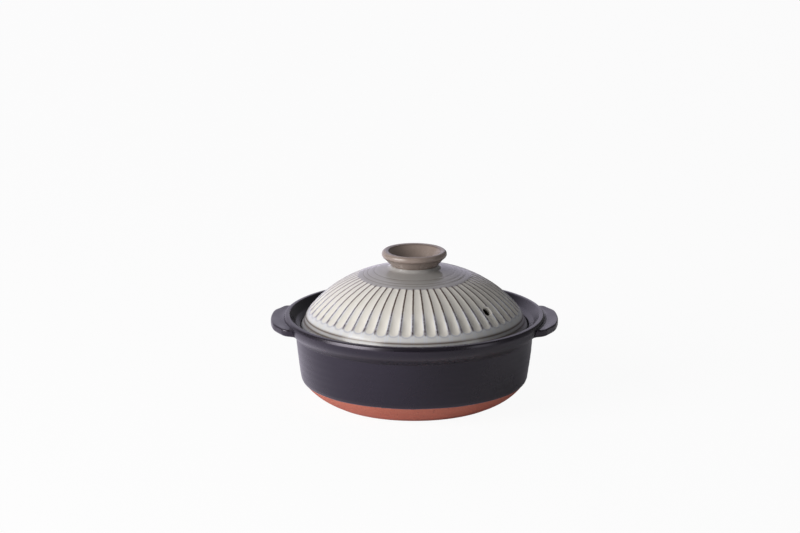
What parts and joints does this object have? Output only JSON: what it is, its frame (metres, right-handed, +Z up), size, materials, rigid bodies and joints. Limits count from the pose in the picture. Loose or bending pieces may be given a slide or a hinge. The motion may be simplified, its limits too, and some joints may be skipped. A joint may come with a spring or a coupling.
{
  "type": "donabe clay pot",
  "caption": "Round earthenware cooking pot with a turned-out rim, two lug handles and a domed lid with scooped petals, a steam hole and a hollow ring knob.",
  "frame": {"origin": "centre of the foot, on the surface that the pot stands on", "axes": "+Z up along the axis of the bowl and lid; the lug handles lie along X; -Y is the side that faces the viewer"},
  "size_m": [0.2854, 0.2598, 0.152],
  "materials": {
    "pot_glaze": "satin black-violet glaze down to a line near the foot, bare red clay below it",
    "lid_glaze": "gloss ash-white glaze, thin and brown on the ridges, pooled grey-green in the hollows",
    "knob_glaze": "thin brown-grey gloss glaze"
  },
  "bodies": {
    "pot": {"pot_bowl": "pot_glaze", "handle_left": "pot_glaze", "handle_right": "pot_glaze"},
    "lid": {"lid_dome": "lid_glaze", "lid_knob": "knob_glaze"}
  },
  "joints": [
    {"name": "lid_lift", "type": "slide", "parent": "pot", "child": "lid", "axis": [0, 0, 1], "range_m": [0, 0.15]}
  ]
}
